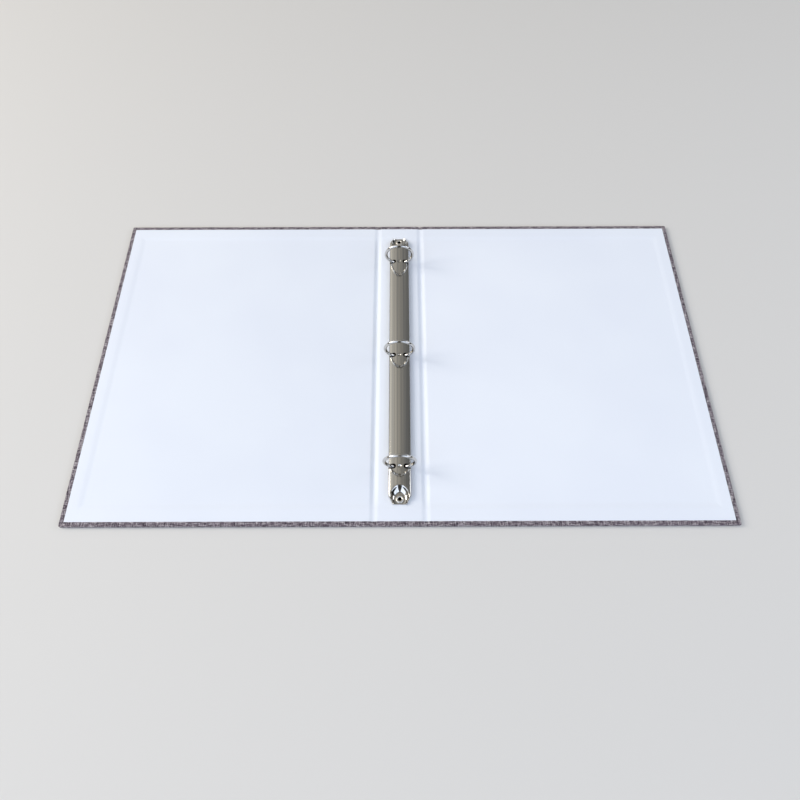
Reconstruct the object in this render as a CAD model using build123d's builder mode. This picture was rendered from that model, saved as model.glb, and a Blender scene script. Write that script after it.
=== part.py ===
"""Three-ring binder, lying open and flat: a cloth-covered board case with a ring mechanism riveted to its spine.

Frame: the origin is the middle of the footprint, on the surface that the case lies on. +X runs from the front
cover to the back cover, +Y from the foot of the page to its head, +Z up. All lengths are in millimetres.
"""

import os
from math import cos, radians, sin, sqrt

from build123d import *

# Case: three boards in one cloth cover, lined with paper
CASE_HEIGHT = 315.0
COVER_BOARD_WIDTH = 250.0
SPINE_BOARD_WIDTH = 34.5
HINGE_GAP = 8.5
BOARD = 2.4
CLOTH = 0.4
PAPER = 0.15
TURN_IN_FORE_EDGE = 13.0
TURN_IN_HEAD = 15.0
LINER_INSET = 3.9
HINGE_VALLEY = 1.9

# Ring mechanism
RING_PITCH = 108.0
RING_RADIUS = 12.9
WIRE_RADIUS = 1.4
RING_CENTRE_HEIGHT = 15.5
MECHANISM_LENGTH = 279.4
MECHANISM_WIDTH = 19.0
MECHANISM_HEIGHT = 5.6
SHEET = 0.8
PLATE = 0.9
PLATE_LENGTH = 240.0
PIVOT_X = 8.2
PIVOT_HEIGHT = 2.1
CLOSED_TILT = 7.5
LEG_X = 5.4
RIVET_FROM_END = 4.4

# Working clearances
RUNNING = 0.05
LOOSE = 0.1

# Case levels and edges
board_top = CLOTH + BOARD
turn_in_top = board_top + CLOTH
liner_top = board_top + PAPER
half_height = CASE_HEIGHT / 2
board_height = CASE_HEIGHT - 2 * CLOTH
spine_edge = SPINE_BOARD_WIDTH / 2
cover_inner = spine_edge + HINGE_GAP
board_outer = cover_inner + COVER_BOARD_WIDTH
case_outer = board_outer + CLOTH
hinge_x = spine_edge + HINGE_GAP / 2

# Mechanism levels and places
seat = liner_top
mechanism_top = seat + MECHANISM_HEIGHT
half_width = MECHANISM_WIDTH / 2
half_length = MECHANISM_LENGTH / 2
pivot_z = seat + PIVOT_HEIGHT
lip_top = pivot_z - PLATE / 2 - LOOSE
rivet_y = half_length - RIVET_FROM_END
ring_centre_z = seat + RING_CENTRE_HEIGHT
ring_places = {"top": RING_PITCH, "middle": 0.0, "bottom": -RING_PITCH}
rivet_places = {"top": rivet_y, "bottom": -rivet_y}

# Rivet: pressed flush into the spine from outside, rolled over on the mechanism's seat
RIVET_HEAD_RADIUS = 5.0
RIVET_HEAD = 0.9
RIVET_SHANK_RADIUS = 2.1
RIVET_ROLL_RADIUS = 3.5
RIVET_ROLL_HEIGHT = 0.95
RIVET_BORE_RADIUS = 1.4

PARTS = "parts"
os.makedirs(PARTS, exist_ok=True)


def save(part, name):
    """Labels a finished piece and writes it as its own STEP file."""
    part.label = name
    export_step(part, f"{PARTS}/{name}.step")


def slab(x_low, x_high, half_y, z_low, z_high, mode=Mode.ADD):
    """A flat plate between two x values, symmetric in y, in the part being built."""
    with Locations(((x_low + x_high) / 2, 0, z_low)):
        Box(
            x_high - x_low,
            2 * half_y,
            z_high - z_low,
            align=(Align.CENTER, Align.CENTER, Align.MIN),
            mode=mode,
        )


# ---------------------------------------------------------------- the case

with BuildPart() as front_board:
    slab(-board_outer, -cover_inner, board_height / 2, CLOTH, board_top)

with BuildPart() as back_board:
    mirror(front_board.part, about=Plane.YZ)

# The rivets pass through the spine board, and their heads sit in shallow counterbores in its outer face
with BuildPart() as spine_board:
    slab(-spine_edge, spine_edge, board_height / 2, CLOTH, board_top)
    with BuildSketch(Plane.XY.offset(CLOTH)):
        with Locations(*[(0, y) for y in rivet_places.values()]):
            Circle(RIVET_SHANK_RADIUS + LOOSE)
    extrude(amount=BOARD, mode=Mode.SUBTRACT)
    with BuildSketch(Plane.XY.offset(CLOTH)):
        with Locations(*[(0, y) for y in rivet_places.values()]):
            Circle(RIVET_HEAD_RADIUS + LOOSE)
    extrude(amount=RIVET_HEAD - CLOTH, mode=Mode.SUBTRACT)

# The cloth wraps the board's outer face and three edges, and is turned in on the inner face
with BuildPart() as front_cover_cloth:
    slab(-case_outer, -cover_inner, half_height, 0, turn_in_top)
    slab(-board_outer, -cover_inner, board_height / 2, CLOTH, board_top, Mode.SUBTRACT)
    slab(
        TURN_IN_FORE_EDGE - case_outer,
        -cover_inner,
        half_height - TURN_IN_HEAD,
        board_top,
        turn_in_top,
        Mode.SUBTRACT,
    )

with BuildPart() as back_cover_cloth:
    mirror(front_cover_cloth.part, about=Plane.YZ)

with BuildPart() as spine_cloth:
    slab(-spine_edge, spine_edge, half_height, 0, turn_in_top)
    slab(-spine_edge, spine_edge, board_height / 2, CLOTH, board_top, Mode.SUBTRACT)
    slab(
        -spine_edge,
        spine_edge,
        half_height - TURN_IN_HEAD,
        board_top,
        turn_in_top,
        Mode.SUBTRACT,
    )
    with BuildSketch():
        with Locations(*[(0, y) for y in rivet_places.values()]):
            Circle(RIVET_HEAD_RADIUS + LOOSE)
    extrude(amount=CLOTH, mode=Mode.SUBTRACT)

# Between the boards the cloth lies flat, doubled over at head and foot
with BuildPart() as front_hinge_cloth:
    slab(-cover_inner, -spine_edge, half_height, 0, CLOTH)
    slab(-cover_inner, -spine_edge, half_height, CLOTH, 2 * CLOTH)
    slab(
        -cover_inner,
        -spine_edge,
        half_height - TURN_IN_HEAD,
        CLOTH,
        2 * CLOTH,
        Mode.SUBTRACT,
    )

with BuildPart() as back_hinge_cloth:
    mirror(front_hinge_cloth.part, about=Plane.YZ)

# The paper lining steps down from the turned-in cloth to the board
with BuildPart() as front_liner:
    slab(
        LINER_INSET - case_outer,
        -cover_inner,
        half_height - LINER_INSET,
        turn_in_top,
        turn_in_top + PAPER,
    )
    slab(
        TURN_IN_FORE_EDGE - case_outer,
        -cover_inner,
        half_height - TURN_IN_HEAD,
        board_top,
        turn_in_top + PAPER,
    )
    slab(
        TURN_IN_FORE_EDGE - case_outer + PAPER,
        -cover_inner,
        half_height - TURN_IN_HEAD - PAPER,
        liner_top,
        turn_in_top + PAPER,
        Mode.SUBTRACT,
    )

with BuildPart() as back_liner:
    mirror(front_liner.part, about=Plane.YZ)

with BuildPart() as spine_liner:
    slab(
        -spine_edge,
        spine_edge,
        half_height - LINER_INSET,
        turn_in_top,
        turn_in_top + PAPER,
    )
    slab(
        -spine_edge,
        spine_edge,
        half_height - TURN_IN_HEAD,
        board_top,
        turn_in_top + PAPER,
    )
    slab(
        -spine_edge,
        spine_edge,
        half_height - TURN_IN_HEAD - PAPER,
        liner_top,
        turn_in_top + PAPER,
        Mode.SUBTRACT,
    )
    with BuildSketch(Plane.XY.offset(board_top)):
        with Locations(*[(0, y) for y in rivet_places.values()]):
            Circle(RIVET_SHANK_RADIUS + LOOSE)
    extrude(amount=PAPER, mode=Mode.SUBTRACT)

# In each hinge the lining is pressed down into the gap between the boards
with BuildPart() as front_hinge_liner:
    with BuildSketch(Plane.XZ):
        with BuildLine():
            ThreePointArc(
                (-cover_inner, liner_top),
                (-hinge_x, liner_top - HINGE_VALLEY),
                (-spine_edge, liner_top),
            )
            Line((-spine_edge, liner_top), (-spine_edge, board_top))
            ThreePointArc(
                (-spine_edge, board_top),
                (-hinge_x, board_top - HINGE_VALLEY),
                (-cover_inner, board_top),
            )
            Line((-cover_inner, board_top), (-cover_inner, liner_top))
        make_face()
    extrude(amount=half_height - LINER_INSET, both=True)

with BuildPart() as back_hinge_liner:
    mirror(front_hinge_liner.part, about=Plane.YZ)

# ---------------------------------------------------------------- the mechanism's cover

SHOULDER_HEIGHT = 3.4
SHOULDER_FILLET = 1.3
LIP_INNER = 7.9
END_HALF_WIDTH = 6.0
END_TAPER = 6.8
END_CORNER_RADIUS = 1.5
DISH_FLOOR_RADIUS = 4.2
DISH_MOUTH_RADIUS = 10.4
DISH_BULGE = 0.35
DIMPLE_RADIUS = 2.6
DIMPLE_DEPTH = 0.7
SLOT_WIDTH = 4.4
SLOT_INNER = 3.2
SLOT_FLOOR = 2.65


def arch_section(z_low):
    """The cover's outer cross-section, from a level up to its crown."""
    shoulder_z = seat + SHOULDER_HEIGHT
    with BuildSketch() as section:
        with BuildLine():
            Polyline(
                (-half_width, shoulder_z),
                (-half_width, z_low),
                (half_width, z_low),
                (half_width, shoulder_z),
            )
            ThreePointArc((half_width, shoulder_z), (0, mechanism_top), (-half_width, shoulder_z))
        make_face()
    return section.sketch


# The cover's plan, with tapered ends
with BuildSketch() as mechanism_plan:
    Rectangle(MECHANISM_WIDTH, MECHANISM_LENGTH)
    chamfer(mechanism_plan.vertices(), length=END_TAPER, length2=half_width - END_HALF_WIDTH)
    fillet(
        mechanism_plan.vertices().filter_by(lambda v: abs(v.Y) > half_length - RUNNING),
        END_CORNER_RADIUS,
    )

# The space that the cover's formed ends may fill, from the seat up to the crown
with BuildPart() as cover_envelope:
    with BuildSketch(Plane.XZ):
        add(arch_section(seat))
    extrude(amount=half_length, both=True)
    extrude(mechanism_plan.sketch, amount=mechanism_top, mode=Mode.INTERSECT)


def dish_section(floor_z, growth):
    """Half section of the bowl pressed around a rivet, grown outwards by a sheet thickness or by nothing."""
    mouth_z = mechanism_top + SHEET
    floor = (DISH_FLOOR_RADIUS + growth / 2, floor_z)
    mouth = (DISH_MOUTH_RADIUS + growth, mouth_z)
    middle = ((floor[0] + mouth[0]) / 2 + DISH_BULGE, (floor_z + mouth_z) / 2 - DISH_BULGE)
    with BuildSketch() as section:
        with BuildLine():
            Polyline(mouth, (0, mouth_z), (0, floor_z), floor)
            ThreePointArc(floor, middle, mouth)
        make_face()
    return section.sketch


with BuildPart() as dish_hollow:
    with BuildSketch(Plane.XZ):
        add(dish_section(seat + SHEET, 0))
    revolve(axis=Axis.Z)

with BuildPart() as dish_block:
    with BuildSketch(Plane.XZ):
        add(dish_section(seat, SHEET))
    revolve(axis=Axis.Z)

with BuildPart() as dish_skins:
    with Locations(*[(0, y, 0) for y in rivet_places.values()]):
        add(dish_block.part)
        add(dish_hollow.part, mode=Mode.SUBTRACT)
    add(cover_envelope.part, mode=Mode.INTERSECT)

dimple_spots = [(0, y, mechanism_top + DIMPLE_RADIUS - DIMPLE_DEPTH) for y in ring_places.values()]

with BuildPart() as dimple_skins:
    with Locations(*dimple_spots):
        Sphere(DIMPLE_RADIUS + SHEET)
        Sphere(DIMPLE_RADIUS, mode=Mode.SUBTRACT)
    add(cover_envelope.part, mode=Mode.INTERSECT)

# Bent from one sheet: an arched channel with in-turned lips, a bowl at each end, slots for the rings
with BuildPart() as mechanism_cover:
    with BuildSketch(Plane.XZ) as channel:
        add(arch_section(lip_top - SHEET))
        fillet(channel.vertices().group_by(Axis.Y)[-1], SHOULDER_FILLET)
        offset(amount=-SHEET, mode=Mode.SUBTRACT)
        with Locations((0, lip_top - SHEET)):
            Rectangle(2 * LIP_INNER, 2 * SHEET, mode=Mode.SUBTRACT)
    extrude(amount=half_length, both=True)
    extrude(mechanism_plan.sketch, amount=mechanism_top, mode=Mode.INTERSECT)
    with Locations(*[(0, y, 0) for y in rivet_places.values()]):
        add(dish_hollow.part, mode=Mode.SUBTRACT)
    with Locations(*dimple_spots):
        Sphere(DIMPLE_RADIUS, mode=Mode.SUBTRACT)
    add(dish_skins.part)
    add(dimple_skins.part)
    with BuildSketch(Plane.XY.offset(seat + SLOT_FLOOR)):
        slot_reach = half_width + LOOSE - SLOT_INNER
        for side in (-1, 1):
            for y in ring_places.values():
                with Locations((side * (SLOT_INNER + SLOT_WIDTH / 2), y)):
                    Circle(SLOT_WIDTH / 2)
                with Locations((side * (SLOT_INNER + SLOT_WIDTH / 2 + slot_reach / 2), y)):
                    Rectangle(slot_reach, SLOT_WIDTH)
    extrude(amount=MECHANISM_HEIGHT, mode=Mode.SUBTRACT)
    with BuildSketch(Plane.XY.offset(seat)):
        with Locations(*[(0, y) for y in rivet_places.values()]):
            Circle(RIVET_SHANK_RADIUS + RUNNING)
    extrude(amount=SHEET, mode=Mode.SUBTRACT)

# ---------------------------------------------------------------- hinge plates

FINGER_PITCH = 24.0
FINGER_COUNT = 4
FINGER_WIDTH = 5.0
FINGER_REACH = 1.6
FINGER_CLEARANCE = 0.3
plate_width = PIVOT_X - LOOSE
neck_radius = 0.95
leg_along_plate = (PIVOT_X - LEG_X) / cos(radians(CLOSED_TILT))
tilt = radians(CLOSED_TILT)
# Local x runs from the pivot at the cover's wall to the middle, local z is the plate's upward normal
front_plate_plane = Plane(
    origin=(-PIVOT_X, 0, pivot_z),
    x_dir=(cos(tilt), 0, -sin(tilt)),
    z_dir=(sin(tilt), 0, cos(tilt)),
)
finger_ys = [FINGER_PITCH * (2 * i - FINGER_COUNT + 0.5) for i in range(FINGER_COUNT)]
notch_ys = [-y for y in finger_ys]

# A long flat strip that rocks on its rounded outer edge; its fingers mesh with the other plate's notches
with BuildPart() as front_hinge_plate:
    with BuildSketch(front_plate_plane):
        with Locations((plate_width / 2, 0)):
            Rectangle(plate_width, PLATE_LENGTH)
        with Locations(*[(plate_width + FINGER_REACH / 2, y) for y in finger_ys]):
            Rectangle(FINGER_REACH, FINGER_WIDTH)
        with Locations(*[(plate_width, y) for y in notch_ys]):
            Rectangle(
                2 * (FINGER_REACH + FINGER_CLEARANCE),
                FINGER_WIDTH + 2 * FINGER_CLEARANCE,
                mode=Mode.SUBTRACT,
            )
        with Locations(*[(leg_along_plate, y) for y in ring_places.values()]):
            Circle(neck_radius + RUNNING, mode=Mode.SUBTRACT)
    extrude(amount=PLATE / 2, both=True)
    with BuildSketch(Plane.XZ):
        with Locations((-PIVOT_X, pivot_z)):
            Circle(PLATE / 2)
    extrude(amount=PLATE_LENGTH / 2, both=True)

with BuildPart() as back_hinge_plate:
    add(front_hinge_plate.part.rotate(Axis.Z, 180))

# ---------------------------------------------------------------- rings

BEND_RADIUS = 1.6
HEAD_RADIUS = 1.6
HEAD = 0.6
HEAD_FILLET = 0.25
TIP_GAP = 0.05
NIB_LENGTH = 0.9
NIB_RADIUS = 0.8
NIB_END_RADIUS = 0.35

plate_normal = Vector(sin(tilt), 0, cos(tilt))
foot = Vector(-LEG_X, 0, pivot_z - leg_along_plate * sin(tilt))
ring_centre = Vector(0, 0, ring_centre_z)
to_foot = foot - ring_centre
along = to_foot.dot(plate_normal)
rise = -along - sqrt(along**2 - to_foot.dot(to_foot) + RING_RADIUS**2)
corner = foot + plate_normal * rise
shoulder = foot + plate_normal * (PLATE / 2)
tip = ring_centre + Vector(-TIP_GAP, 0, sqrt(RING_RADIUS**2 - TIP_GAP**2))
outermost = ring_centre + Vector(-RING_RADIUS, 0, 0)

# One half of a ring: round wire from the tip to the plate, necked down, passed through and riveted over
with BuildPart() as half_ring:
    with BuildLine() as wire_path:
        ThreePointArc(tip, outermost, corner)
        Line(corner, shoulder)
        bend = wire_path.vertices().sort_by_distance(corner)[0]
        fillet(bend, BEND_RADIUS)
    with BuildSketch(Plane(origin=tip, z_dir=wire_path.wire() % 0)):
        Circle(WIRE_RADIUS)
    sweep()
    with BuildSketch(Plane(origin=shoulder, z_dir=-plate_normal)):
        Circle(neck_radius)
    extrude(amount=PLATE)
    with BuildSketch(Plane(origin=shoulder - plate_normal * PLATE, z_dir=-plate_normal)):
        Circle(HEAD_RADIUS)
    extrude(amount=HEAD)
    fillet(half_ring.edges().sort_by(Axis(shoulder, -plate_normal))[-1], HEAD_FILLET)


def nib(growth, mode):
    """The locating cone between two ring tips, grown by a clearance, in the part being built."""
    with Locations(Location(tip, (0, 90, 0))):
        Cone(
            NIB_RADIUS + growth,
            NIB_END_RADIUS + growth,
            NIB_LENGTH + growth,
            align=(Align.CENTER, Align.CENTER, Align.MIN),
            mode=mode,
        )


with BuildPart() as front_half_ring:
    add(half_ring.part)
    nib(0, Mode.ADD)

with BuildPart() as back_half_ring:
    mirror(half_ring.part, about=Plane.YZ)
    nib(LOOSE, Mode.SUBTRACT)

# ---------------------------------------------------------------- rivets

with BuildPart() as rivet:
    with BuildSketch(Plane.XZ):
        roll_foot = seat + SHEET
        with BuildLine():
            Polyline(
                (0, 0),
                (RIVET_HEAD_RADIUS, 0),
                (RIVET_HEAD_RADIUS, RIVET_HEAD),
                (RIVET_SHANK_RADIUS, RIVET_HEAD),
                (RIVET_SHANK_RADIUS, roll_foot),
                (RIVET_ROLL_RADIUS, roll_foot),
            )
            ThreePointArc(
                (RIVET_ROLL_RADIUS, roll_foot),
                ((RIVET_ROLL_RADIUS + RIVET_BORE_RADIUS) / 2, roll_foot + RIVET_ROLL_HEIGHT),
                (RIVET_BORE_RADIUS, roll_foot + RIVET_ROLL_HEIGHT / 3),
            )
            Polyline(
                (RIVET_BORE_RADIUS, roll_foot + RIVET_ROLL_HEIGHT / 3),
                (RIVET_BORE_RADIUS, board_top / 2),
                (0, board_top / 2),
                (0, 0),
            )
        make_face()
    revolve(axis=Axis.Z)

# ---------------------------------------------------------------- the finished pieces

single_pieces = {
    "front_board": front_board,
    "spine_board": spine_board,
    "back_board": back_board,
    "front_cover_cloth": front_cover_cloth,
    "front_hinge_cloth": front_hinge_cloth,
    "spine_cloth": spine_cloth,
    "back_hinge_cloth": back_hinge_cloth,
    "back_cover_cloth": back_cover_cloth,
    "front_liner": front_liner,
    "front_hinge_liner": front_hinge_liner,
    "spine_liner": spine_liner,
    "back_hinge_liner": back_hinge_liner,
    "back_liner": back_liner,
    "mechanism_cover": mechanism_cover,
    "front_hinge_plate": front_hinge_plate,
    "back_hinge_plate": back_hinge_plate,
}
for name, piece in single_pieces.items():
    save(piece.part, name)

for place, y in ring_places.items():
    for side, half in (("front", front_half_ring), ("back", back_half_ring)):
        with BuildPart() as placed_half_ring:
            with Locations((0, y, 0)):
                add(half.part)
        save(placed_half_ring.part, f"{side}_half_ring_{place}")

for place, y in rivet_places.items():
    with BuildPart() as placed_rivet:
        with Locations((0, y, 0)):
            add(rivet.part)
    save(placed_rivet.part, f"rivet_{place}")
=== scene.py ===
"""The looks of a ring binder that lies open and flat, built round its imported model.

The frame is the model's own: origin in the middle of the footprint on the table, +X from the front cover to
the back cover, +Y from the foot of the page to its head, +Z up. Sizes in the classes are in millimetres,
and meshes are in metres.
"""

import logging
import math
from collections.abc import Iterable
from dataclasses import dataclass
from enum import Enum

import bmesh
import bpy
from mathutils import Matrix, Vector


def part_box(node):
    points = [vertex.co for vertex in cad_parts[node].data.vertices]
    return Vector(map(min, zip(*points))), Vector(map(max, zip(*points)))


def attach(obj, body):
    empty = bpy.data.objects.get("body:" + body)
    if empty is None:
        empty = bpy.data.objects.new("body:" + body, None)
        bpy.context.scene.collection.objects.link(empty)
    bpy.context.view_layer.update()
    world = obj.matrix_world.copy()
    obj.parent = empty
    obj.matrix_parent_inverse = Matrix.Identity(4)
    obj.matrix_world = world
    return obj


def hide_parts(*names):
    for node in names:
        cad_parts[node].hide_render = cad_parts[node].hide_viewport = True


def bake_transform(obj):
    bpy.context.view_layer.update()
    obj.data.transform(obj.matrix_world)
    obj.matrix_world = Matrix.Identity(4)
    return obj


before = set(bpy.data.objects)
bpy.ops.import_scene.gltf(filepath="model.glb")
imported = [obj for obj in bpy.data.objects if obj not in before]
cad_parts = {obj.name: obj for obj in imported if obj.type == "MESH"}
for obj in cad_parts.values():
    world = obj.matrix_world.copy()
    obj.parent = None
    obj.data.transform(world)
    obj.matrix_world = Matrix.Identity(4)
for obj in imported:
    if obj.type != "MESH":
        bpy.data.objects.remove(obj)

log = logging.getLogger("ring_binder")

MM = 0.001
RING_PLACES = ("top", "middle", "bottom")
RIVET_PLACES = ("top", "bottom")
# A face whose normal has more than this share along an axis faces that way
FACING = 0.9


class Side(Enum):
    """The two halves of the binder, with the sign of x on each."""

    FRONT = -1
    BACK = 1

    @property
    def word(self) -> str:
        """The side's name as it stands in the names of nodes and bodies."""
        return self.name.lower()


# ---------------------------------------------------------------- small tools


def linear(colour: str) -> tuple[float, float, float, float]:
    """Turns an sRGB hex colour into the linear values that shaders take.

    Args:
        colour: Six hex digits, such as "c8d2dc".

    Returns:
        Red, green, blue and an alpha of 1.
    """
    channels = [int(colour[i : i + 2], 16) / 255 for i in (0, 2, 4)]
    straight = [c / 12.92 if c <= 0.04045 else ((c + 0.055) / 1.055) ** 2.4 for c in channels]
    return (*straight, 1.0)


def smoothstep(low: float, high: float, value: float) -> float:
    """Eases from 0 at low to 1 at high."""
    t = min(1.0, max(0.0, (value - low) / (high - low)))
    return t * t * (3 - 2 * t)


def add_node(tree: bpy.types.NodeTree, kind: str, inputs: dict | None = None, **settings) -> bpy.types.Node:
    """Adds a shader node, sets its properties and fills its inputs.

    Args:
        tree: The node tree that gets the node.
        kind: The node's type name.
        inputs: Values or output sockets, by the input's name or index.
        **settings: The node's own properties.

    Returns:
        The new node.
    """
    node = tree.nodes.new(kind)
    for name, value in settings.items():
        setattr(node, name, value)
    for name, value in (inputs or {}).items():
        if isinstance(value, bpy.types.NodeSocket):
            tree.links.new(value, node.inputs[name])
        else:
            node.inputs[name].default_value = value
    return node


def new_finish(name: str) -> tuple[bpy.types.Material, bpy.types.NodeTree, bpy.types.Node]:
    """Starts a material with one Principled shader on its output.

    Args:
        name: The material's name.

    Returns:
        The material, its node tree and its shader node.
    """
    material = bpy.data.materials.new(name)
    material.use_nodes = True
    tree = material.node_tree
    return material, tree, tree.nodes["Principled BSDF"]


def colour_ramp(
    tree: bpy.types.NodeTree, factor: bpy.types.NodeSocket, stops: Iterable[tuple[float, str]]
) -> bpy.types.NodeSocket:
    """Maps a factor onto colours.

    Args:
        tree: The node tree to add to.
        factor: The socket that chooses the colour.
        stops: Position and sRGB hex colour of each stop, in order.

    Returns:
        The colour socket.
    """
    ramp = add_node(tree, "ShaderNodeValToRGB", {"Fac": factor})
    stops = list(stops)
    elements = ramp.color_ramp.elements
    while len(elements) < len(stops):
        elements.new(0.5)
    for element, (position, colour) in zip(elements, stops):
        element.position = position
        element.color = linear(colour)
    return ramp.outputs["Color"]


def to_object(name: str, bm: bmesh.types.BMesh, smooth: bool = True) -> bpy.types.Object:
    """Turns a finished bmesh into an object at the origin.

    Args:
        name: The object's name.
        bm: The mesh, in metres, which is freed.
        smooth: Whether its faces are shaded smooth.

    Returns:
        The linked object.
    """
    mesh = bpy.data.meshes.new(name)
    for face in bm.faces:
        face.smooth = smooth
    bm.to_mesh(mesh)
    bm.free()
    piece = bpy.data.objects.new(name, mesh)
    bpy.context.scene.collection.objects.link(piece)
    return piece


def apply_modifiers(piece: bpy.types.Object) -> None:
    """Replaces an object's mesh with what its modifiers make of it.

    Args:
        piece: The object, which has no modifiers afterwards.
    """
    graph = bpy.context.evaluated_depsgraph_get()
    finished = bpy.data.meshes.new_from_object(piece.evaluated_get(graph))
    piece.modifiers.clear()
    old = piece.data
    piece.data = finished
    bpy.data.meshes.remove(old)


def thicken(piece: bpy.types.Object, thickness: float, even: bool = True) -> None:
    """Gives a sheet its thickness, below its face.

    Args:
        piece: The sheet.
        thickness: Its thickness in metres.
        even: Whether the thickness stays the same round bends.
    """
    wall = piece.modifiers.new("wall", "SOLIDIFY")
    wall.thickness = thickness
    wall.offset = -1
    wall.use_even_offset = even
    apply_modifiers(piece)


def cut_away(piece: bpy.types.Object, tool: bpy.types.Object) -> None:
    """Cuts a closed shape out of a piece, and removes that shape.

    Args:
        piece: The piece to cut.
        tool: The shape to cut out of it.
    """
    cut = piece.modifiers.new("cut", "BOOLEAN")
    cut.operation = "DIFFERENCE"
    cut.solver = "EXACT"
    cut.object = tool
    apply_modifiers(piece)
    bpy.data.objects.remove(tool)


def keep_creases(piece: bpy.types.Object, angle_deg: float = 35.0) -> None:
    """Shades an object smooth except across edges that turn by more than an angle."""
    piece.data.shade_smooth()
    piece.data.set_sharp_from_angle(angle=math.radians(angle_deg))


def dress(piece: bpy.types.Object, material: bpy.types.Material) -> None:
    """Gives an object one material."""
    piece.data.materials.clear()
    piece.data.materials.append(material)


def round_off(bm: bmesh.types.BMesh, edges: list[bmesh.types.BMEdge], radius: float, segments: int) -> None:
    """Rounds edges off to a radius."""
    bmesh.ops.bevel(
        bm, geom=edges, offset=radius, segments=segments, profile=0.5, affect="EDGES", material=-1
    )


def cut_lines(bm: bmesh.types.BMesh, axis: Vector, places: Iterable[float]) -> None:
    """Cuts a whole mesh by parallel planes.

    Args:
        bm: The mesh to cut.
        axis: The planes' normal.
        places: The planes' distances from the origin along it, in metres.
    """
    for place in places:
        bmesh.ops.bisect_plane(
            bm, geom=bm.verts[:] + bm.edges[:] + bm.faces[:], plane_co=axis * place, plane_no=axis
        )


def spaced(low: float, high: float, count: int) -> list[float]:
    """Evenly spaced numbers from low to high, both included."""
    return [low + (high - low) * i / (count - 1) for i in range(count)]


def middle_along(node: str) -> float:
    """The middle of a node along the spine, in metres."""
    low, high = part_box(node)
    return (low.y + high.y) / 2


# ---------------------------------------------------------------- finishes


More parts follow.
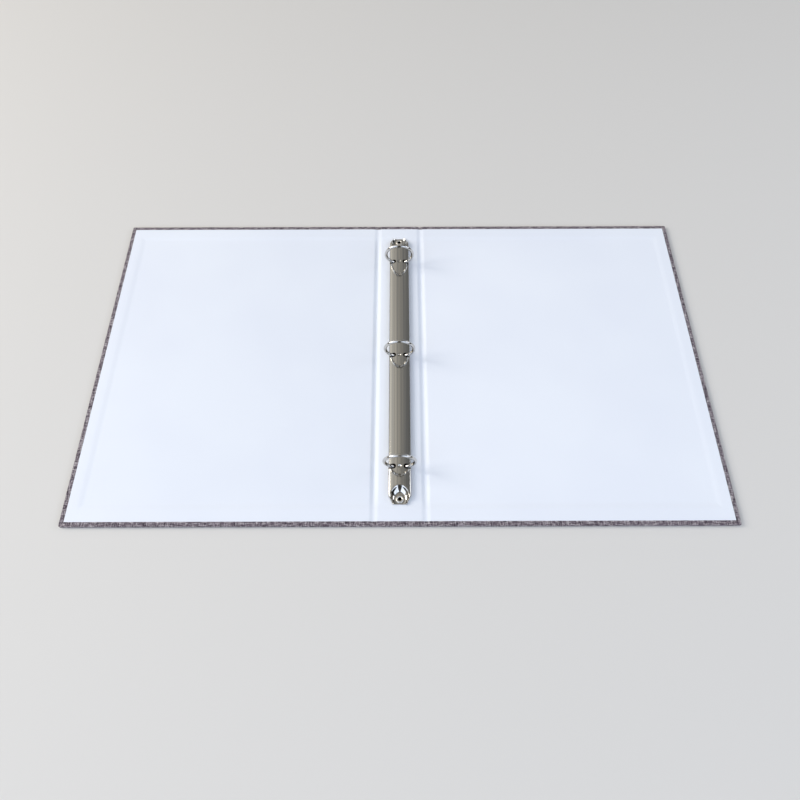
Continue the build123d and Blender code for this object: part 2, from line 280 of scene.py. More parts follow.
@dataclass(frozen=True)
class BookCloth:
    """Book cloth: spun rayon in a plain weave, paper-backed.

    The yarns are spun from dark, mauve-grey and pale fibre, so the matte surface is a fine mixture of slubs
    and short stripes that run along the threads both ways.
    """

    # Position in the mixture of yarns, and colour, from the darkest fibre to the palest
    fibres: tuple[tuple[float, str], ...] = (
        (0.435, "251d27"),
        (0.495, "5e505b"),
        (0.535, "766872"),
        (0.57, "8c8587"),
        (0.645, "cfc9c9"),
    )
    # Real threads are about 0.35 mm apart; they are drawn a little wider, so that they show
    thread_pitch_mm: float = 0.5
    slub_length_mm: float = 5.0
    # Neighbouring threads that are pale or dark together, as spun from one batch of fibre
    stripe_mm: float = 1.2
    stripe_length_mm: float = 6.0
    stripe_share: float = 0.6
    # Painted shade: how much paler the crown of a thread is painted than the gaps beside it, where shade
    # falls
    painted_gap_shade: float = 0.075
    thread_height_mm: float = 0.1
    # How gradually one thread dips under the other
    dip: float = 0.2
    roughness: float = 0.92
    sheen: float = 0.15
    sheen_roughness: float = 0.5
    specular: float = 0.25

    def crossing(self, tree: bpy.types.NodeTree, flat: bpy.types.NodeSocket) -> bpy.types.NodeSocket:
        """Adds the weave: a value that is largest where threads cross, and changes sign from over to under.

        Args:
            tree: The node tree to add to.
            flat: The cloth's flat coordinates, in metres.

        Returns:
            The value, from -1 to 1.
        """
        split = add_node(tree, "ShaderNodeSeparateXYZ", {"Vector": flat})
        turns = math.pi * 1000 / self.thread_pitch_mm
        waves = []
        for axis in ("X", "Y"):
            turned = add_node(
                tree, "ShaderNodeMath", {0: split.outputs[axis], 1: turns}, operation="MULTIPLY"
            ).outputs[0]
            waves.append(add_node(tree, "ShaderNodeMath", {0: turned}, operation="SINE").outputs[0])
        return add_node(tree, "ShaderNodeMath", {0: waves[0], 1: waves[1]}, operation="MULTIPLY").outputs[0]

    def yarn(
        self, tree: bpy.types.NodeTree, flat: bpy.types.NodeSocket, along_y: bool
    ) -> bpy.types.NodeSocket:
        """Adds the mixture of fibre along one set of threads: slubs in single threads, and wider stripes.

        Args:
            tree: The node tree to add to.
            flat: The cloth's flat coordinates, in metres.
            along_y: True for the threads along Y, the warp, and False for those along X, the weft.

        Returns:
            The mixture, from 0 for the darkest fibre to 1 for the palest.
        """
        layers = []
        for width_mm, length_mm in (
            (self.thread_pitch_mm, self.slub_length_mm),
            (self.stripe_mm, self.stripe_length_mm),
        ):
            across = 1000 / width_mm
            along = 1000 / length_mm
            scale = (across, along, 1.0) if along_y else (along, across, 1.0)
            placed = add_node(tree, "ShaderNodeMapping", {"Vector": flat, "Scale": scale}).outputs["Vector"]
            layer = add_node(
                tree,
                "ShaderNodeTexNoise",
                {"Vector": placed, "Scale": 1.0, "Detail": 2.0, "Roughness": 0.6},
                noise_dimensions="2D",
            )
            layers.append(layer.outputs["Fac"])
        return add_node(
            tree, "ShaderNodeMix", {"Factor": self.stripe_share, "A": layers[0], "B": layers[1]}
        ).outputs["Result"]

    def make(self) -> bpy.types.Material:
        """Builds the material, whose pattern follows the cloth's flat coordinates.

        Returns:
            The material.
        """
        material, tree, shader = new_finish("book_cloth_mauve")
        flat = add_node(tree, "ShaderNodeUVMap", uv_map="flat").outputs["UV"]
        crossing = self.crossing(tree, flat)
        over = add_node(
            tree, "ShaderNodeMapRange", {"Value": crossing, "From Min": -self.dip, "From Max": self.dip}
        )
        warp = self.yarn(tree, flat, along_y=True)
        weft = self.yarn(tree, flat, along_y=False)
        mixed = add_node(
            tree, "ShaderNodeMix", {"Factor": over.outputs["Result"], "A": warp, "B": weft}
        ).outputs["Result"]
        roundness = add_node(tree, "ShaderNodeMath", {0: crossing}, operation="ABSOLUTE").outputs[0]
        # Painted shade: crowns painted paler and the gaps between the threads darker, by how round the
        # weave is there
        shaded = add_node(
            tree,
            "ShaderNodeMath",
            {0: roundness, 1: self.painted_gap_shade, 2: mixed},
            operation="MULTIPLY_ADD",
        ).outputs[0]
        tree.links.new(colour_ramp(tree, shaded, self.fibres), shader.inputs["Base Color"])
        shader.inputs["Roughness"].default_value = self.roughness
        shader.inputs["Sheen Weight"].default_value = self.sheen
        shader.inputs["Sheen Roughness"].default_value = self.sheen_roughness
        shader.inputs["Specular IOR Level"].default_value = self.specular
        bump = add_node(
            tree,
            "ShaderNodeBump",
            {"Height": roundness, "Strength": 1.0, "Distance": self.thread_height_mm * MM},
        ).outputs["Normal"]
        tree.links.new(bump, shader.inputs["Normal"])
        return material


@dataclass(frozen=True)
class LiningPaper:
    """Lining paper: smooth uncoated white stock pasted over board. Matte, faintly blue, faintly mottled."""

    white: str = "ebf0f7"
    shade: str = "e8edf5"
    mottle_mm: float = 120.0
    # Paper fibre is finer than a tenth of a millimetre; half a millimetre is the finest that shows
    tooth_mm: float = 0.5
    tooth_height_mm: float = 0.03
    roughness: float = 0.62
    specular: float = 0.3

    def make(self) -> bpy.types.Material:
        """Builds the material, whose pattern follows the paper's flat coordinates.

        Returns:
            The material.
        """
        material, tree, shader = new_finish("lining_paper_white")
        flat = add_node(tree, "ShaderNodeUVMap", uv_map="flat").outputs["UV"]
        mottle = add_node(
            tree,
            "ShaderNodeTexNoise",
            {"Vector": flat, "Scale": 1000 / self.mottle_mm, "Detail": 2.0},
            noise_dimensions="2D",
        ).outputs["Fac"]
        colour = colour_ramp(tree, mottle, [(0.35, self.shade), (0.65, self.white)])
        tree.links.new(colour, shader.inputs["Base Color"])
        shader.inputs["Roughness"].default_value = self.roughness
        shader.inputs["Specular IOR Level"].default_value = self.specular
        tooth = add_node(
            tree,
            "ShaderNodeTexNoise",
            {"Vector": flat, "Scale": 1000 / self.tooth_mm, "Detail": 3.0},
            noise_dimensions="2D",
        ).outputs["Fac"]
        height = self.tooth_height_mm * MM
        bump = add_node(
            tree, "ShaderNodeBump", {"Height": tooth, "Strength": 0.25, "Distance": height}
        ).outputs["Normal"]
        tree.links.new(bump, shader.inputs["Normal"])
        return material


@dataclass(frozen=True)
class Greyboard:
    """Greyboard: pressed recycled pulp, cut with a blade. Dull warm grey with darker and paler specks."""

    base: str = "8f8a80"
    dark: str = "6d675e"
    speck_mm: float = 0.8
    speck_height_mm: float = 0.1
    roughness: float = 0.95

    def make(self) -> bpy.types.Material:
        """Builds the material on object coordinates.

        Returns:
            The material.
        """
        material, tree, shader = new_finish("greyboard_pressed_pulp")
        place = add_node(tree, "ShaderNodeTexCoord").outputs["Object"]
        speck = add_node(
            tree, "ShaderNodeTexNoise", {"Vector": place, "Scale": 1000 / self.speck_mm, "Detail": 3.0}
        ).outputs["Fac"]
        colour = colour_ramp(tree, speck, [(0.4, self.dark), (0.55, self.base)])
        tree.links.new(colour, shader.inputs["Base Color"])
        shader.inputs["Roughness"].default_value = self.roughness
        height = self.speck_height_mm * MM
        bump = add_node(
            tree, "ShaderNodeBump", {"Height": speck, "Strength": 0.5, "Distance": height}
        ).outputs["Normal"]
        tree.links.new(bump, shader.inputs["Normal"])
        return material


@dataclass(frozen=True)
class PlatedSteel:
    """Plated steel strip or wire: bright, with faint streaks and drawn-out grain from the metal below."""

    name: str
    colour: str
    streak: str
    roughness: float
    streak_mm: float = 2.2
    streak_length_mm: float = 500.0
    # Real grain is finer than a tenth of a millimetre; half a millimetre is the finest that shows
    grain_mm: float = 0.5
    grain_length_mm: float = 60.0
    grain_depth_mm: float = 0.01
    # The grain's least and greatest roughness, as shares of the finish's own
    roughness_spread: tuple[float, float] = (0.75, 1.3)

    def lines(self, tree: bpy.types.NodeTree, width_mm: float, length_mm: float) -> bpy.types.NodeSocket:
        """Adds noise drawn out along the spine.

        Args:
            tree: The node tree to add to.
            width_mm: The size of its features across the spine.
            length_mm: Their size along the spine.

        Returns:
            The noise's value, about 0.5 on average.
        """
        place = add_node(tree, "ShaderNodeTexCoord").outputs["Object"]
        scale = (1000 / width_mm, 1000 / length_mm, 1000 / width_mm)
        drawn = add_node(tree, "ShaderNodeMapping", {"Vector": place, "Scale": scale}).outputs["Vector"]
        return add_node(
            tree, "ShaderNodeTexNoise", {"Vector": drawn, "Scale": 1.0, "Detail": 3.0, "Roughness": 0.55}
        ).outputs["Fac"]

    def make(self) -> bpy.types.Material:
        """Builds the material on object coordinates.

        Returns:
            The material.
        """
        material, tree, shader = new_finish(self.name)
        streaks = self.lines(tree, self.streak_mm, self.streak_length_mm)
        colour = colour_ramp(tree, streaks, [(0.36, self.streak), (0.62, self.colour)])
        tree.links.new(colour, shader.inputs["Base Color"])
        grain = self.lines(tree, self.grain_mm, self.grain_length_mm)
        rough = add_node(
            tree,
            "ShaderNodeMapRange",
            {
                "Value": grain,
                "From Min": 0.3,
                "From Max": 0.7,
                "To Min": self.roughness_spread[0] * self.roughness,
                "To Max": self.roughness_spread[1] * self.roughness,
            },
        ).outputs["Result"]
        tree.links.new(rough, shader.inputs["Roughness"])
        shader.inputs["Metallic"].default_value = 1.0
        depth = self.grain_depth_mm * MM
        bump = add_node(
            tree, "ShaderNodeBump", {"Height": grain, "Strength": 0.12, "Distance": depth}
        ).outputs["Normal"]
        tree.links.new(bump, shader.inputs["Normal"])
        return material


@dataclass(frozen=True)
class RivetPlate:
    """Nickel plate on a tubular rivet: pale and satin where it is rolled over, with painted shade down its
    hole: the middle is painted dark.
    """

    plate: str = "d9d5cd"
    # Painted shade: the dark painted down the rivet's hole
    painted_bore_shade: str = "26241f"
    bore_radius_mm: float = 1.4
    # Painted shade: where the dark painted down the hole ends and the rim is fully bright, as shares of its
    # radius
    bore_edge: tuple[float, float] = (1.02, 1.2)
    # The head under the spine is closed and bright all over, up to this height, and past it by a half
    head_mm: float = 0.9
    roughness: float = 0.34

    def make(self) -> bpy.types.Material:
        """Builds the material, on object coordinates folded so that both rivets share one pattern.

        Returns:
            The material.
        """
        material, tree, shader = new_finish("nickel_plate_on_rivet")
        place = add_node(tree, "ShaderNodeTexCoord").outputs["Object"]
        split = add_node(tree, "ShaderNodeSeparateXYZ", {"Vector": place})
        folded = add_node(tree, "ShaderNodeMath", {0: split.outputs["Y"]}, operation="ABSOLUTE").outputs[0]
        along = add_node(
            tree, "ShaderNodeMath", {0: folded, 1: middle_along("rivet_top")}, operation="SUBTRACT"
        ).outputs[0]
        spoke = add_node(tree, "ShaderNodeCombineXYZ", {"X": split.outputs["X"], "Y": along})
        reach = add_node(tree, "ShaderNodeVectorMath", {0: spoke.outputs["Vector"]}, operation="LENGTH")
        dark, bright = (share * self.bore_radius_mm * MM for share in self.bore_edge)
        rim = add_node(
            tree,
            "ShaderNodeMapRange",
            {"Value": reach.outputs["Value"], "From Min": dark, "From Max": bright},
            interpolation_type="SMOOTHSTEP",
        ).outputs["Result"]
        head = add_node(
            tree,
            "ShaderNodeMapRange",
            {
                "Value": split.outputs["Z"],
                "From Min": self.head_mm * MM,
                "From Max": 1.5 * self.head_mm * MM,
                "To Min": 1.0,
                "To Max": 0.0,
            },
        ).outputs["Result"]
        plated = add_node(tree, "ShaderNodeMath", {0: rim, 1: head}, operation="MAXIMUM").outputs[0]
        # Painted shade: dark down the hole, the plate's own colour everywhere else
        colour = colour_ramp(tree, plated, [(0.0, self.painted_bore_shade), (1.0, self.plate)])
        tree.links.new(colour, shader.inputs["Base Color"])
        shader.inputs["Metallic"].default_value = 1.0
        shader.inputs["Roughness"].default_value = self.roughness
        return material


# ---------------------------------------------------------------- the case


@dataclass
class Case:
    """The cloth-covered case: cloth and lining, each made in two halves that meet under the mechanism."""

    edge_radius_mm: float = 0.7
    edge_segments: int = 4
    corner_radius_mm: float = 1.5
    corner_segments: int = 5
    mitre_depth_mm: float = 0.3
    mitre_width_mm: float = 0.9
    turn_in_fore_edge_mm: float = 13.0
    turn_in_head_mm: float = 15.0
    # The lining steps up over the turned-in cloth along this width, a share of it outside the cloth's edge
    turn_in_step_mm: float = 6.0
    step_outside: float = 0.3
    step_cuts: int = 9
    groove_depth_mm: float = 1.6
    groove_depth_at_ends_mm: float = 0.65
    # The groove grows shallow over this width, which ends just past the turned-in cloth's edge
    groove_fade_mm: float = 24.0
    groove_fade_past_mm: float = 4.0
    groove_fade_cuts: int = 6
    groove_cuts: int = 15
    hole_gap_mm: float = 0.1
    hole_segments: int = 64
    shank_radius_mm: float = 2.2

    def __post_init__(self) -> None:
        """Reads the case's levels and edges from the frame."""
        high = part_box("back_cover_cloth")[1]
        self.outer = high.x
        self.half_y = high.y
        self.top = high.z
        board_low, board_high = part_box("back_board")
        self.cloth = board_low.z
        self.board_top = board_high.z
        self.cover_inner = board_low.x
        self.spine_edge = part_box("spine_board")[1].x
        lining_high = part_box("back_liner")[1]
        self.lining_outer = lining_high.x
        self.lining_half_y = lining_high.y
        self.paper = lining_high.z - self.top
        self.turn_in_x = self.outer - self.turn_in_fore_edge_mm * MM
        self.turn_in_y = self.half_y - self.turn_in_head_mm * MM
        self.fade_end = self.turn_in_y + self.groove_fade_past_mm * MM
        self.fade_start = self.fade_end - self.groove_fade_mm * MM
        step = self.turn_in_step_mm * MM
        self.step_span = (-self.step_outside * step, (1 - self.step_outside) * step)

    def groove(self, distance: float, y: float) -> float:
        """How far the covering dips between the boards: less where the turned-in cloth bridges the gap.

        Args:
            distance: Distance from the spine's middle, in metres.
            y: Place along the spine, in metres.

        Returns:
            The dip in metres.
        """
        middle = (self.spine_edge + self.cover_inner) / 2
        half = (self.cover_inner - self.spine_edge) / 2
        share = (distance - middle) / half
        if abs(share) >= 1:
            return 0.0
        bridged = smoothstep(self.fade_start, self.fade_end, abs(y))
        depth = self.groove_depth_mm + (self.groove_depth_at_ends_mm - self.groove_depth_mm) * bridged
        return depth * MM * 0.5 * (1 + math.cos(math.pi * share))

    def groove_places(self) -> list[float]:
        """Where a mesh is cut so that the groove comes out round."""
        return spaced(self.spine_edge, self.cover_inner, self.groove_cuts)

    def make_cloth(self, side: Side, material: bpy.types.Material) -> bpy.types.Object:
        """Builds half of the cloth cover: under the boards, round their edges and turned in on top.

        Args:
            side: The half to build.
            material: The cloth's finish.

        Returns:
            The finished piece.
        """
        bm = bmesh.new()
        bmesh.ops.create_cube(bm, size=1.0)
        bmesh.ops.scale(bm, verts=bm.verts, vec=(self.outer, 2 * self.half_y, self.top))
        bmesh.ops.translate(bm, verts=bm.verts, vec=(self.outer / 2, 0, self.top / 2))
        seam = [f for f in bm.faces if f.normal.x < -FACING]
        bmesh.ops.delete(bm, geom=seam, context="FACES")
        inner_edges = [e for e in bm.edges if not e.is_boundary]
        upright = [e for e in inner_edges if abs(e.verts[0].co.z - e.verts[1].co.z) > self.top / 2]
        round_off(bm, upright, self.corner_radius_mm * MM, self.corner_segments)
        inner_edges = [e for e in bm.edges if not e.is_boundary]
        folded = [e for e in inner_edges if any(abs(f.normal.z) > FACING for f in e.link_faces)]
        round_off(bm, folded, self.edge_radius_mm * MM, self.edge_segments)
        cut_lines(bm, Vector((1, 0, 0)), [*self.groove_places(), self.turn_in_x])
        fading = spaced(self.fade_start, self.fade_end, self.groove_fade_cuts)
        for end in (-1, 1):
            cut_lines(bm, Vector((0, 1, 0)), [end * y for y in (self.turn_in_y, *fading)])
        open_top = [
            f
            for f in bm.faces
            if f.normal.z > FACING
            and f.calc_center_median().x < self.turn_in_x
            and abs(f.calc_center_median().y) < self.turn_in_y
        ]
        bmesh.ops.delete(bm, geom=open_top, context="FACES")
        for end in (-1, 1):
            self.fold_mitre(bm, end)
        for v in bm.verts:
            v.co.z *= 1 - self.groove(v.co.x, v.co.y) / self.top
        bmesh.ops.scale(bm, verts=bm.verts, vec=(side.value, 1, 1))
        bmesh.ops.recalc_face_normals(bm, faces=bm.faces)
        self.lay_flat(bm)
        piece = to_object(f"{side.word}_case_cloth", bm)
        thicken(piece, self.cloth)
        low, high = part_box("rivet_top")
        self.punch(piece, (high.x - low.x) / 2 + self.hole_gap_mm * MM, 0.0)
        keep_creases(piece)
        dress(piece, material)
        self.bend(piece)
        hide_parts(f"{side.word}_cover_cloth", f"{side.word}_hinge_cloth", "spine_cloth")
        return piece

    def fold_mitre(self, bm: bmesh.types.BMesh, end: int) -> None:
        """Presses the diagonal fold into the turned-in cloth at one corner.

        Args:
            bm: The cloth's mesh, whose corner is at positive x.
            end: The sign of y at the corner.
        """
        across = Vector((1, -end, 0)).normalized()
        corner = Vector((self.outer, end * self.half_y, 0))
        slack = 0.1 * MM
        on_top = self.top - slack
        for shift in (-0.5, 0.0, 0.5):
            faces = [
                f
                for f in bm.faces
                if all(v.co.z > on_top for v in f.verts)
                and f.calc_center_median().x > self.turn_in_x - slack
                and end * f.calc_center_median().y > self.turn_in_y - slack
            ]
            edges = {e for f in faces for e in f.edges}
            verts = {v for f in faces for v in f.verts}
            bmesh.ops.bisect_plane(
                bm,
                geom=[*verts, *edges, *faces],
                plane_co=corner + across * shift * self.mitre_width_mm * MM,
                plane_no=across,
                dist=1e-7,
            )
        for v in bm.verts:
            on_fold = abs((v.co - corner).dot(across)) < slack
            if on_fold and v.co.z > on_top and v.co.x > self.turn_in_x - slack:
                v.co.z -= self.mitre_depth_mm * MM

    def lay_flat(self, bm: bmesh.types.BMesh) -> None:
        """Gives a mesh UV coordinates in metres, as if its edges were folded out flat.

        Args:
            bm: The cloth's or the paper's mesh.
        """
        layer = bm.loops.layers.uv.new("flat")
        for face in bm.faces:
            steep = face.normal
            for loop in face.loops:
                x, y, z = loop.vert.co
                if abs(steep.x) > max(abs(steep.y), abs(steep.z)):
                    x += math.copysign(z, x)
                elif abs(steep.y) > abs(steep.z):
                    y += math.copysign(z, y)
                loop[layer].uv = (x, y)

    def punch(self, piece: bpy.types.Object, radius: float, height: float) -> None:
        """Cuts a round hole for each rivet.

        Args:
            piece: The cloth or the paper.
            radius: The hole's radius in metres.
            height: The level of the hole's middle in metres.
        """
        # Long enough to go right through, and too short to reach the cloth's other layer
        depth = 3 * self.cloth
        for place in RIVET_PLACES:
            bm = bmesh.new()
            bmesh.ops.create_cone(
                bm, cap_ends=True, segments=self.hole_segments, radius1=radius, radius2=radius, depth=depth
            )
            bmesh.ops.translate(bm, verts=bm.verts, vec=(0, middle_along(f"rivet_{place}"), height))
            cut_away(piece, to_object("punch", bm))

    def bend(self, piece: bpy.types.Object) -> None:
        """Bakes the piece's placement into its mesh."""
        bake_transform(piece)

    def lining_height(self, distance: float, y: float) -> float:
        """The height of the lining's face, which lies on the board and steps up over the turned-in cloth.

        Args:
            distance: Distance from the spine's middle, in metres.
            y: Place along the spine, in metres.

        Returns:
            The height in metres.
        """
        inside = min(self.turn_in_x - distance, self.turn_in_y - abs(y))
        raised = 1 - smoothstep(*self.step_span, inside)
        return self.board_top + self.paper + raised * self.cloth - self.groove(distance, y)

    def make_lining(self, side: Side, material: bpy.types.Material) -> bpy.types.Object:
        """Builds half of the lining: one sheet of paper over a cover, its hinge groove and half the spine.

        Args:
            side: The half to build.
            material: The paper's finish.

        Returns:
            The finished piece.
        """
        bm = bmesh.new()
        bmesh.ops.create_grid(bm, x_segments=1, y_segments=1, size=0.5)
        bmesh.ops.scale(bm, verts=bm.verts, vec=(self.lining_outer, 2 * self.lining_half_y, 1))
        bmesh.ops.translate(bm, verts=bm.verts, vec=(self.lining_outer / 2, 0, 0))
        step = spaced(*self.step_span, self.step_cuts)
        cut_lines(bm, Vector((1, 0, 0)), self.groove_places() + [self.turn_in_x - s for s in step])
        fading = spaced(self.fade_start, self.fade_end, self.groove_fade_cuts)
        for end in (-1, 1):
            places = [self.turn_in_y - s for s in step] + fading
            cut_lines(bm, Vector((0, 1, 0)), [end * y for y in places])
        for v in bm.verts:
            v.co.z = self.lining_height(v.co.x, v.co.y)
        bmesh.ops.scale(bm, verts=bm.verts, vec=(side.value, 1, 1))
        bmesh.ops.recalc_face_normals(bm, faces=bm.faces)
        if sum(f.normal.z for f in bm.faces) < 0:
            bmesh.ops.reverse_faces(bm, faces=bm.faces)
        self.lay_flat(bm)
        piece = to_object(f"{side.word}_case_lining", bm)
        thicken(piece, self.paper, even=False)
        self.punch(piece, self.shank_radius_mm * MM, self.board_top)
        keep_creases(piece)
        dress(piece, material)
        self.bend(piece)
        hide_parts(f"{side.word}_liner", f"{side.word}_hinge_liner", "spine_liner")
        return piece

    def build(
        self, cloth: bpy.types.Material, paper: bpy.types.Material, board: bpy.types.Material
    ) -> None:
        """Builds and dresses the whole case.

        Args:
            cloth: The finish of the outside.
            paper: The finish of the inside.
            board: The finish of the boards between them.
        """
        for side in Side:
            for piece in (self.make_cloth(side, cloth), self.make_lining(side, paper)):
                log.info("case: %s, %d faces", piece.name, len(piece.data.polygons))
        for name in ("front_board", "spine_board", "back_board"):
            dress(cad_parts[name], board)
            log.info("case: %s dressed", name)


# ---------------------------------------------------------------- the ring mechanism


@dataclass
class Mechanism:
    """The nickel-plated ring mechanism on the spine. Its cover is pressed from one strip of sheet steel."""

    sheet_mm: float = 0.8
    seat_mm: float = 2.95
    shoulder_height_mm: float = 3.4
    shoulder_radius_mm: float = 1.3
    lip_height_mm: float = 0.75
    lip_width_mm: float = 1.6
    lip_radius_mm: float = 0.85
    # The lips carry the hinge plates, and fade out past these
    lip_end_mm: float = 124.0
    lip_fade_mm: float = 5.0
    lip_width_at_ends_mm: float = 0.1
    lip_radius_at_ends_mm: float = 0.05
    seat_gap_mm: float = 0.03
    taper_mm: float = 6.8
    taper_softness: float = 0.1
    end_half_width_mm: float = 6.0
    bowl_floor_radius_mm: float = 4.3
    bowl_mouth_across_mm: float = 9.0
    bowl_mouth_along_mm: float = 10.8
    bowl_mouth_at_end_mm: float = 11.0
    bowl_steepness: float = 1.6
    # Past this share of the way to its mouth the bowl no longer counts
    bowl_limit: float = 3.0
    rim_softness_mm: float = 0.6
    rim_reach_mm: float = 2.0
    dimple_radius_mm: float = 2.1
    dimple_depth_mm: float = 0.9
    slot_width_mm: float = 4.4
    slot_inner_mm: float = 3.2
    slot_floor_mm: float = 2.65
    # The punch's round nose, as a share of the slot's width
    slot_nose: float = 0.49
    slot_nose_segments: int = 14
    hole_radius_mm: float = 2.15
    hole_segments: int = 48
    overshoot_mm: float = 1.0
    # Points of the cross-section: over the top, round a shoulder, down a wall, round a lip and under it
    top_points: int = 61
    shoulder_points: int = 8
    wall_points: int = 4
    lip_points: int = 6
    foot_points: int = 3
    # Cross-sections stand this close where the cover is shaped, and this many span each plain stretch
    fine_step_mm: float = 0.3
    plain_stations: int = 12
    ring_zone_mm: float = 4.0

    def __post_init__(self) -> None:
        """Reads the cover's outline and the places of rings and rivets from the frame, in millimetres."""
        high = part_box("mechanism_cover")[1] / MM
        self.half_width, self.half_length, self.crown = high
        self.ring_ys = [self.middle_y(f"back_half_ring_{place}") for place in RING_PLACES]
        self.rivet_y = self.middle_y("rivet_top")

    def middle_y(self, node: str) -> float:
        """The middle of a node along the spine, in millimetres."""
        return middle_along(node) / MM

    def arch(self, x: float) -> float:
        """The height of the plain arched top at a distance from the middle."""
        shoulder = self.seat_mm + self.shoulder_height_mm
        return self.crown - (self.crown - shoulder) * (x / self.half_width) ** 2

    def width_at(self, y: float) -> float:
        """The cover's half width at a place along the spine: full, then tapering to the end.

        Args:
            y: Place along the spine.

        Returns:
            The half width.
        """
        share = (abs(y) - self.half_length + self.taper_mm) / self.taper_mm
        eased = 0.5 * (share + math.hypot(share, self.taper_softness))
        return self.half_width - (self.half_width - self.end_half_width_mm) * min(1.0, max(0.0, eased))

    def bowl(self, x: float, y: float) -> float:
        """The height of the bowl pressed round a rivet, which runs out longer towards the middle.

        Args:
            x: Distance from the middle of the spine.
            y: Place along the spine.

        Returns:
            The height of the bowl's surface, far above the arch outside the bowl.
        """
        inward = self.rivet_y - abs(y)
        reach = math.hypot(x, inward)
        if reach <= self.bowl_floor_radius_mm:
            return self.seat_mm + self.sheet_mm
        along = self.bowl_mouth_along_mm if inward > 0 else self.bowl_mouth_at_end_mm
        mouth = reach / math.hypot(x / self.bowl_mouth_across_mm, inward / along)
        share = (reach - self.bowl_floor_radius_mm) / (mouth - self.bowl_floor_radius_mm)
        rise = self.crown - self.seat_mm - self.sheet_mm
        return self.seat_mm + self.sheet_mm + rise * min(share, self.bowl_limit) ** self.bowl_steepness

    def sink(self, x: float, y: float) -> float:
        """How far the bowls and the dimples press the arched top down at a point.

        Args:
            x: Distance from the middle of the spine.
            y: Place along the spine.

        Returns:
            The depth below the plain arch.
        """
        plain = self.arch(x)
        bowl = self.bowl(x, y)
        gap = plain - bowl
        pressed = 0.5 * (gap + math.hypot(gap, self.rim_softness_mm)) if gap > -self.rim_reach_mm else 0.0
        for ring_y in self.ring_ys:
            reach = math.hypot(x, y - ring_y) / self.dimple_radius_mm
            if reach < 1:
                pressed += self.dimple_depth_mm * 0.5 * (1 + math.cos(math.pi * reach))
        return pressed

    def section(self, y: float) -> list[tuple[float, float]]:
        """The cover's outer cross-section from the crown to the edge of the lip, as x and z.

        Args:
            y: Place along the spine.

        Returns:
            Points on the back half, in order, the same number at every place.
        """
        width = self.width_at(y)
        slope = math.atan(2 * (self.crown - self.arch(self.half_width)) / self.half_width)
        radius = self.shoulder_radius_mm
        top_end = width - radius * (1 - math.sin(slope))
        across = spaced(0.0, top_end, self.top_points // 2 + 1)
        points = [(x, self.arch(x) - self.sink(x, y)) for x in across]
        centre_x = top_end - radius * math.sin(slope)
        centre_z = points[-1][1] - radius * math.cos(slope)
        for angle in spaced(slope, math.pi / 2, self.shoulder_points)[1:]:
            points.append((centre_x + radius * math.sin(angle), centre_z + radius * math.cos(angle)))
        flat_end = smoothstep(self.lip_end_mm, self.lip_end_mm + self.lip_fade_mm, abs(y))
        foot = self.seat_mm + self.lip_height_mm * (1 - flat_end) + self.seat_gap_mm
        turn = self.lip_radius_mm * (1 - flat_end) + self.lip_radius_at_ends_mm * flat_end
        lip = self.lip_width_mm * (1 - flat_end) + self.lip_width_at_ends_mm * flat_end
        wall_top = points[-1][1]
        for share in spaced(0.0, 1.0, self.wall_points)[1:]:
            points.append((width, wall_top + (foot + turn - wall_top) * share))
        for angle in spaced(math.pi / 2, math.pi, self.lip_points)[1:]:
            points.append((width - turn * (1 - math.sin(angle)), foot + turn * (1 + math.cos(angle))))
        for x in spaced(width - turn, width - lip, self.foot_points)[1:]:
            points.append((x, foot))
        return points

    def stations(self) -> list[float]:
        """Where the cover's cross-sections stand along the spine: close together where it is shaped.

        Returns:
            The places in order, from the foot to the head.
        """
        bowl_start = self.rivet_y - self.bowl_mouth_along_mm - self.rim_reach_mm
        fine = [(-self.half_length, -bowl_start)]
        fine += [(y - self.ring_zone_mm, y + self.ring_zone_mm) for y in sorted(self.ring_ys)]
        fine += [(bowl_start, self.half_length)]
        places: list[float] = []
        for low, high in fine:
            if places:
                places += spaced(places[-1], low, self.plain_stations)[1:-1]
            places += spaced(low, high, round((high - low) / self.fine_step_mm) + 1)
        return places

    def cutter(self) -> bpy.types.Object:
        """Makes the punches for the six ring slots and the two rivet holes.

        Returns:
            All the punches as one object.
        """
        bm = bmesh.new()
        depth = self.crown - self.seat_mm
        length = self.half_width + self.overshoot_mm - self.slot_inner_mm
        lift = self.seat_mm + self.slot_floor_mm + depth / 2
        for y in self.ring_ys:
            for side in (-1, 1):
                made = bmesh.ops.create_cube(bm, size=1.0)["verts"]
                bmesh.ops.scale(bm, verts=made, vec=(length, self.slot_width_mm, depth))
                middle = side * (self.slot_inner_mm + length / 2)
                bmesh.ops.translate(bm, verts=made, vec=(middle, y, lift))
                near = [v for v in made if abs(v.co.x) < abs(middle)]
                nose = {e for v in near for e in v.link_edges if e.other_vert(v).co.xy == v.co.xy}
                round_off(bm, list(nose), self.slot_width_mm * self.slot_nose, self.slot_nose_segments)
        for end in (-1, 1):
            hole = bmesh.ops.create_cone(
                bm,
                cap_ends=True,
                segments=self.hole_segments,
                radius1=self.hole_radius_mm,
                radius2=self.hole_radius_mm,
                depth=4 * self.sheet_mm,
            )["verts"]
            bmesh.ops.translate(bm, verts=hole, vec=(0, end * self.rivet_y, self.seat_mm))
        bmesh.ops.scale(bm, verts=bm.verts, vec=(MM, MM, MM))
        return to_object("mechanism_punches", bm)

